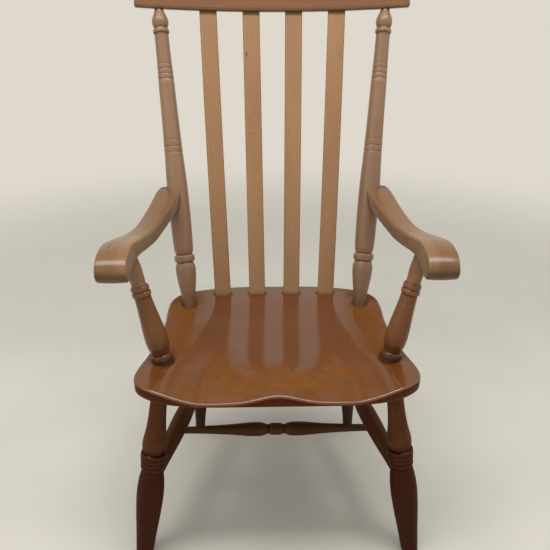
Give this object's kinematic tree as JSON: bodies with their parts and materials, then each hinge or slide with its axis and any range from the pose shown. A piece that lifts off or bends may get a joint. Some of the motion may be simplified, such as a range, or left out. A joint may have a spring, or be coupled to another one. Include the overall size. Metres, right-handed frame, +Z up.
{
  "type": "lath-back windsor armchair",
  "caption": "Windsor armchair with a saddled plank seat, splayed turned legs joined by stretchers, turned back posts, flat laths under a bowed crest rail, and scrolled arms.",
  "frame": {"origin": "on the floor, under the middle of the chair's box", "axes": "+Z up, -Y towards the front of the seat, +X to the right as seen from the front"},
  "size_m": [0.6026, 0.602, 1.1225],
  "materials": {
    "seat_elm": "polished elm, orange brown, worn lighter along the front edge",
    "front_legs": "polished beech, dark red brown",
    "rear_legs": "polished beech, dark brown",
    "stretchers": "polished beech, dark brown",
    "posts": "polished beech, mid brown",
    "laths": "polished beech, warm light brown",
    "crest": "polished beech, warm light brown",
    "arms": "polished beech, mid brown, shiny at the scrolls",
    "arm_supports": "polished beech, orange brown",
    "screws": "plain steel",
    "plugs_and_pegs": "polished beech end grain"
  },
  "bodies": {
    "root": {"seat": "seat_elm", "leg_front_left": "front_legs", "leg_front_right": "front_legs", "leg_rear_left": "rear_legs", "leg_rear_right": "rear_legs", "side_stretcher_left": "stretchers", "side_stretcher_right": "stretchers", "cross_stretcher": "stretchers", "back_post_left": "posts", "back_post_right": "posts", "lath_1": "laths", "lath_2": "laths", "lath_3": "laths", "lath_4": "laths", "crest_rail": "crest", "arm_left": "arms", "arm_right": "arms", "arm_support_left": "arm_supports", "arm_support_right": "arm_supports", "arm_screw_left": "screws", "arm_screw_right": "screws", "screw_plug_left": "plugs_and_pegs", "screw_plug_right": "plugs_and_pegs", "crest_peg_left": "plugs_and_pegs", "crest_peg_right": "plugs_and_pegs"}
  },
  "joints": []
}
